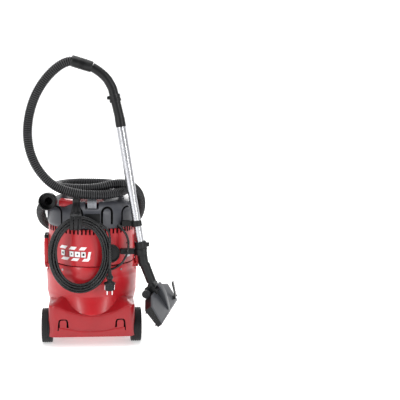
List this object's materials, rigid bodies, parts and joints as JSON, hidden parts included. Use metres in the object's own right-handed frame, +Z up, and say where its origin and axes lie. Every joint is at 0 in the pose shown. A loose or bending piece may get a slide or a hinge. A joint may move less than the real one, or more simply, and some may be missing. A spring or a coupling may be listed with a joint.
{
  "type": "shop vacuum",
  "caption": "Wet and dry shop vacuum on wheels with a round drum, lift-off motor head, stored hose, wand and floor nozzle, and a wound power cord on a rubber strap.",
  "frame": {"origin": "point on the floor under the middle of the drum", "axes": "+Z up, +Y towards the front with the hose inlet and switches, -Y the rear where the cord hangs, +X the side that carries the wand"},
  "size_m": [0.6069, 0.5673, 1.1106],
  "materials": {
    "red_shell": "glossy moulded",
    "dark_red": "satin",
    "black_plastic": "fine texture",
    "anthracite": "fine texture",
    "light_grey": "satin",
    "rubber": "satin",
    "tyre": "matt",
    "steel": "satin",
    "chrome": "polished",
    "aluminium": "brushed",
    "hose": "corrugated",
    "cable": "glossy",
    "filter_paper": "pleated",
    "bristle": "bristle",
    "motor_metal": "satin"
  },
  "bodies": {
    "chassis": {"chassis": "red_shell", "drum": "red_shell", "rim_seal": "rubber", "inlet_fitting": "black_plastic", "rear_axles": "steel", "latch_pins": "steel", "drum_screws": "steel", "castor_plates": "steel"},
    "wheel_left": {"hub_left": "black_plastic", "tyre_left": "tyre"},
    "wheel_right": {"hub_right": "black_plastic", "tyre_right": "tyre"},
    "castor_left": {"castor_fork_left": "black_plastic"},
    "castor_right": {"castor_fork_right": "black_plastic"},
    "castor_roller_left": {"castor_wheel_left": "tyre"},
    "castor_roller_right": {"castor_wheel_right": "tyre"},
    "latch_lever_left": {"latch_left": "red_shell"},
    "latch_lever_right": {"latch_right": "red_shell"},
    "head": {"head_housing": "red_shell", "base_plate": "black_plastic", "suction_motor": "motor_metal", "float_cage": "black_plastic", "filter_cassette": "filter_paper", "exhaust_port": "black_plastic", "head_screws": "steel", "control_panel": "black_plastic", "appliance_socket": "black_plastic", "flap_pin": "steel", "top_cover": "anthracite", "top_plate": "dark_red", "carry_handle": "light_grey", "cord_strap": "rubber", "clip_upper": "black_plastic", "holder_lower": "black_plastic", "wand_tube_upper": "aluminium", "wand_tube_lower": "aluminium", "locking_collar": "black_plastic", "hand_tube": "black_plastic", "suction_hose": "hose", "hose_cuff": "black_plastic", "hose_sleeve": "black_plastic", "cord_gland": "rubber", "cord_lead": "cable", "cord_coil": "cable", "cord_tail": "cable", "plug_body": "cable", "plug_pins": "chrome", "elastic_cord": "rubber"},
    "fan": {"fan_wheel": "aluminium", "motor_shaft": "steel"},
    "float": {"float_ball": "light_grey"},
    "switch": {"rotary_switch": "black_plastic"},
    "flap": {"socket_flap": "black_plastic"},
    "latch_button": {"cover_latch": "red_shell"},
    "air_valve": {"air_ring": "black_plastic"},
    "elbow": {"elbow": "black_plastic"},
    "nozzle": {"nozzle_body": "anthracite", "nozzle_brushes": "bristle"},
    "nozzle_wheels": {"nozzle_rollers": "rubber"},
    "pedal": {"nozzle_pedal": "anthracite"}
  },
  "joints": [
    {"name": "wheel_left_roll", "type": "hinge", "parent": "chassis", "child": "wheel_left", "pos_m": [-0.1715, -0.145, 0.067], "axis": [1, 0, 0], "continuous": true},
    {"name": "castor_left_swivel", "type": "hinge", "parent": "chassis", "child": "castor_left", "pos_m": [-0.092, 0.148, 0.046], "axis": [0, 0, 1], "continuous": true},
    {"name": "castor_left_roll", "type": "hinge", "parent": "castor_left", "child": "castor_roller_left", "pos_m": [-0.092, 0.126, 0.022], "axis": [1, 0, 0], "continuous": true},
    {"name": "latch_left_open", "type": "hinge", "parent": "chassis", "child": "latch_lever_left", "pos_m": [-0.181, 0, 0.284], "axis": [0, -1, 0], "range_deg": [0, 70]},
    {"name": "wheel_right_roll", "type": "hinge", "parent": "chassis", "child": "wheel_right", "pos_m": [0.1715, -0.145, 0.067], "axis": [1, 0, 0], "continuous": true},
    {"name": "castor_right_swivel", "type": "hinge", "parent": "chassis", "child": "castor_right", "pos_m": [0.092, 0.148, 0.046], "axis": [0, 0, 1], "continuous": true},
    {"name": "castor_right_roll", "type": "hinge", "parent": "castor_right", "child": "castor_roller_right", "pos_m": [0.092, 0.126, 0.022], "axis": [1, 0, 0], "continuous": true},
    {"name": "latch_right_open", "type": "hinge", "parent": "chassis", "child": "latch_lever_right", "pos_m": [0.181, 0, 0.284], "axis": [0, 1, 0], "range_deg": [0, 70]},
    {"name": "head_lift", "type": "slide", "parent": "chassis", "child": "head", "axis": [0, 0, 1], "range_m": [0, 0.3]},
    {"name": "fan_spin", "type": "hinge", "parent": "head", "child": "fan", "pos_m": [0, 0.015, 0.33], "axis": [0, 0, 1], "continuous": true},
    {"name": "float_rise", "type": "slide", "parent": "head", "child": "float", "axis": [0, 0, 1], "range_m": [0, 0.0135]},
    {"name": "switch_turn", "type": "hinge", "parent": "head", "child": "switch", "pos_m": [-0.038, 0.21, 0.406], "axis": [0, 1, 0], "range_deg": [0, 270]},
    {"name": "flap_open", "type": "hinge", "parent": "head", "child": "flap", "pos_m": [0.038, 0.207, 0.434], "axis": [1, 0, 0], "range_deg": [0, 100]},
    {"name": "cover_latch_press", "type": "slide", "parent": "head", "child": "latch_button", "axis": [0, 0.3489, -0.9371], "range_m": [0, 0.003], "stiffness_N_per_m": 600},
    {"name": "air_ring_turn", "type": "hinge", "parent": "head", "child": "air_valve", "pos_m": [0.08637, -0.166, 0.95135], "axis": [-0.2417, 0, 0.9704], "range_deg": [0, 90]},
    {"name": "elbow_swivel", "type": "hinge", "parent": "head", "child": "elbow", "pos_m": [0.189, -0.166, 0.377], "axis": [0.1668, 0, -0.986], "range_deg": [-15, 15]},
    {"name": "nozzle_tilt", "type": "hinge", "parent": "elbow", "child": "nozzle", "pos_m": [0.236, -0.166, 0.228], "axis": [0.3001, 0.9483, 0.103], "range_deg": [-20, 25]},
    {"name": "nozzle_wheel_roll", "type": "hinge", "parent": "nozzle", "child": "nozzle_wheels", "pos_m": [0.22567, -0.16064, 0.20877], "axis": [0.3001, 0.9483, 0.103], "continuous": true},
    {"name": "pedal_rock", "type": "hinge", "parent": "nozzle", "child": "pedal", "pos_m": [0.33085, -0.07763, 0.15259], "axis": [0.3001, 0.9483, 0.103], "range_deg": [-6, 0]}
  ]
}
